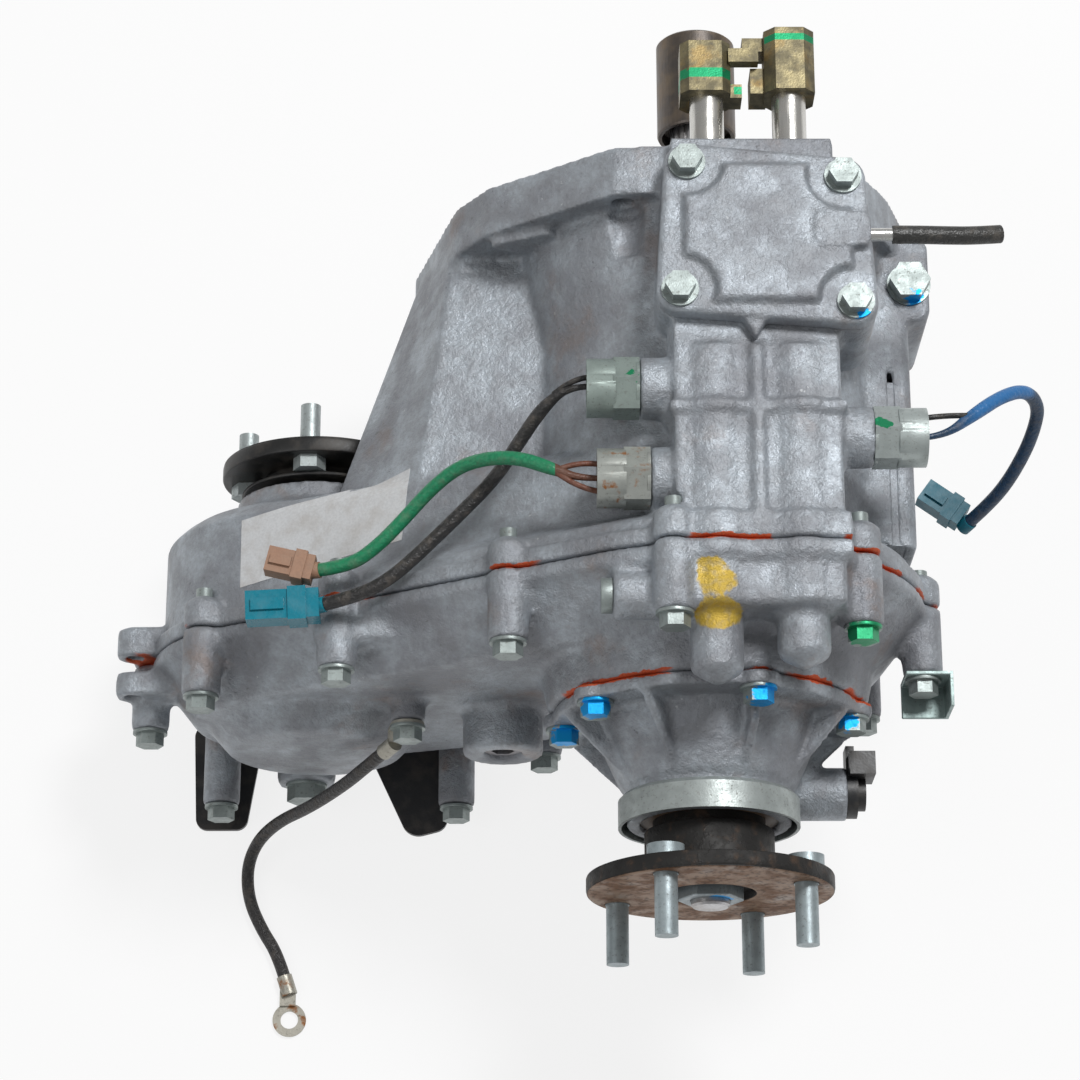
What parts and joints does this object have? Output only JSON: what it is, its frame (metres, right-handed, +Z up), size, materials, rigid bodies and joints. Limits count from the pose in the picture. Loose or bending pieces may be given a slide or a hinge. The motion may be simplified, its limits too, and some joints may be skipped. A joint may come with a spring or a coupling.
{
  "type": "transfer case",
  "caption": "Chain-driven two-range transfer case with an open bell face, shift rods, front and rear output flanges, switches and leads.",
  "frame": {"origin": "main shaft line where it meets the gearbox mating face", "axes": "+Y forward along the shafts, towards the gearbox; +X to the right of the picture; +Z up, towards the shift tower"},
  "size_m": [0.4448, 0.4685, 0.2985],
  "materials": {
    "cast_aluminium": "sand-cast, satin grey",
    "zinc_steel": "zinc plated",
    "olive_steel": "grey-green plated sheet",
    "cast_plug": "plated steel",
    "black_steel": "black, satin",
    "rusty_steel": "machined steel with surface rust",
    "dark_steel": "dark phosphated",
    "machined_steel": "machined",
    "polished_steel": "ground and polished",
    "yellow_chromate": "yellow chromate over steel",
    "fork_iron": "as cast",
    "black_plastic": "moulded",
    "black_rubber": "matte",
    "green_sleeve": "smooth sleeve",
    "blue_sleeve": "smooth sleeve",
    "teal_plastic": "moulded",
    "brown_plastic": "moulded, dusty"
  },
  "bodies": {
    "case": {"front_case": "cast_aluminium", "rear_case": "cast_aluminium", "extension_housing": "cast_aluminium", "top_cover": "cast_aluminium", "cover_bolts": "zinc_steel", "case_bolts": "zinc_steel", "extension_bolts": "zinc_steel", "side_bolt": "zinc_steel", "ground_bolt": "zinc_steel", "drain_plug": "zinc_steel", "detent_plug": "zinc_steel", "breather_nipple": "zinc_steel", "low_range_switch": "zinc_steel", "neutral_switch": "zinc_steel", "front_drive_switch": "zinc_steel", "dust_deflector": "zinc_steel", "ground_terminals": "zinc_steel", "harness_bracket": "olive_steel", "filler_plug": "cast_plug", "lower_guard": "black_steel", "bearing_outer_races": "machined_steel", "ring_gear": "machined_steel", "drive_chain": "machined_steel", "detent_ball": "machined_steel", "detent_spring": "machined_steel", "speed_sensor": "black_plastic", "breather_hose": "black_rubber", "low_range_lead": "black_rubber", "ground_cable": "black_rubber", "input_seal": "black_rubber", "rear_output_seal": "black_rubber", "front_output_seal": "black_rubber", "neutral_lead": "green_sleeve", "front_drive_lead": "blue_sleeve", "low_range_connector": "teal_plastic", "front_drive_connector": "teal_plastic", "neutral_connector": "brown_plastic"},
    "input": {"input_shaft": "machined_steel", "input_sleeve": "dark_steel"},
    "carrier": {"planet_carrier": "machined_steel"},
    "planet_1": {"planet_gear_1": "machined_steel"},
    "planet_2": {"planet_gear_2": "machined_steel"},
    "planet_3": {"planet_gear_3": "machined_steel"},
    "rear_output": {"rear_output_shaft": "machined_steel", "rear_flange": "rusty_steel", "rear_flange_studs": "zinc_steel", "rear_flange_nut": "zinc_steel"},
    "range_sleeve": {"high_low_sleeve": "machined_steel"},
    "drive_sleeve": {"front_drive_sleeve": "machined_steel"},
    "range_rod": {"high_low_rod": "polished_steel", "high_low_fork": "fork_iron", "high_low_rod_head": "yellow_chromate"},
    "drive_rod": {"front_drive_rod": "polished_steel", "front_drive_fork": "fork_iron", "front_drive_rod_head": "yellow_chromate"},
    "front_output": {"front_output_shaft": "machined_steel", "front_flange": "black_steel", "front_flange_bolts": "zinc_steel", "front_flange_nut": "zinc_steel"},
    "sprocket": {"drive_sprocket": "machined_steel"}
  },
  "joints": [
    {"name": "rear_output_spin", "type": "hinge", "parent": "case", "child": "rear_output", "pos_m": [0, -0.3, 0], "axis": [0, 1, 0], "continuous": true},
    {"name": "input_spin", "type": "hinge", "parent": "case", "child": "input", "pos_m": [0, -0.07, 0], "axis": [0, 1, 0], "continuous": true},
    {"name": "carrier_spin", "type": "hinge", "parent": "case", "child": "carrier", "pos_m": [0, -0.115, 0], "axis": [0, 1, 0], "continuous": true},
    {"name": "front_output_spin", "type": "hinge", "parent": "case", "child": "front_output", "pos_m": [-0.18945, -0.15, -0.08955], "axis": [0, 1, 0], "continuous": true, "deforming": ["drive_chain"]},
    {"name": "sprocket_spin", "type": "hinge", "parent": "case", "child": "sprocket", "pos_m": [0, -0.177, 0], "axis": [0, 1, 0], "continuous": true},
    {"name": "range_rod_slide", "type": "slide", "parent": "case", "child": "range_rod", "axis": [0, 1, 0], "range_m": [0, 0.012]},
    {"name": "range_sleeve_slide", "type": "slide", "parent": "rear_output", "child": "range_sleeve", "axis": [0, 1, 0], "range_m": [0, 0.012]},
    {"name": "drive_rod_slide", "type": "slide", "parent": "case", "child": "drive_rod", "axis": [0, 1, 0], "range_m": [0, 0.008]},
    {"name": "drive_sleeve_slide", "type": "slide", "parent": "rear_output", "child": "drive_sleeve", "axis": [0, 1, 0], "range_m": [0, 0.008]},
    {"name": "planet_1_spin", "type": "hinge", "parent": "carrier", "child": "planet_1", "pos_m": [0, -0.1, 0.04725], "axis": [0, 1, 0], "continuous": true},
    {"name": "planet_2_spin", "type": "hinge", "parent": "carrier", "child": "planet_2", "pos_m": [-0.04092, -0.1, -0.02363], "axis": [0, 1, 0], "continuous": true},
    {"name": "planet_3_spin", "type": "hinge", "parent": "carrier", "child": "planet_3", "pos_m": [0.04092, -0.1, -0.02363], "axis": [0, 1, 0], "continuous": true}
  ],
  "couplings": [
    {"joint": "input_spin", "follows": "rear_output_spin", "ratio": 1},
    {"joint": "carrier_spin", "follows": "rear_output_spin", "ratio": 0.38889},
    {"joint": "sprocket_spin", "follows": "front_output_spin", "ratio": 1},
    {"joint": "range_sleeve_slide", "follows": "range_rod_slide", "ratio": 1},
    {"joint": "drive_sleeve_slide", "follows": "drive_rod_slide", "ratio": 1},
    {"joint": "planet_1_spin", "follows": "rear_output_spin", "ratio": -2.1389},
    {"joint": "planet_2_spin", "follows": "rear_output_spin", "ratio": -2.1389},
    {"joint": "planet_3_spin", "follows": "rear_output_spin", "ratio": -2.1389}
  ]
}
